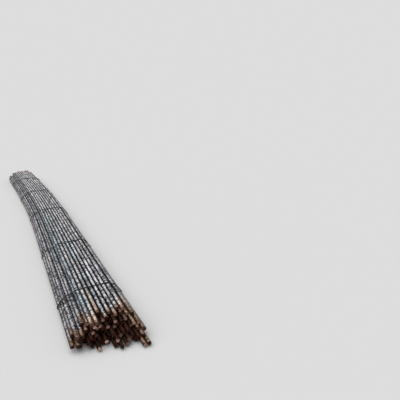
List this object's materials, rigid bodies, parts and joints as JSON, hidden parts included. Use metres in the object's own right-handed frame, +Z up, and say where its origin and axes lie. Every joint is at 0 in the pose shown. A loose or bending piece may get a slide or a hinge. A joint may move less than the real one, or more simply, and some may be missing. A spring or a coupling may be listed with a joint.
{
  "type": "rebar bundle",
  "caption": "Bundle of ribbed steel reinforcing bars with ragged ends, laid in layers and held together by twisted loops of wire rod.",
  "frame": {"origin": "middle of the bounding box, on the ground under the bundle", "axes": "+Z up; +Y along the bundle, from the near end that the picture shows to the far end; +X to the right seen from the near end"},
  "size_m": [0.6285, 6.3368, 0.1741],
  "materials": {
    "bar_steel": "satin",
    "tie_wire": "satin"
  },
  "bodies": {
    "root": {"bar_layer_1": "bar_steel", "bar_layer_2": "bar_steel", "bar_layer_3": "bar_steel", "bar_layer_4": "bar_steel", "bar_layer_5": "bar_steel", "bar_layer_6": "bar_steel", "tie_wire_1": "tie_wire", "tie_wire_2": "tie_wire", "tie_wire_3": "tie_wire", "tie_wire_4": "tie_wire", "tie_wire_5": "tie_wire"}
  },
  "joints": []
}
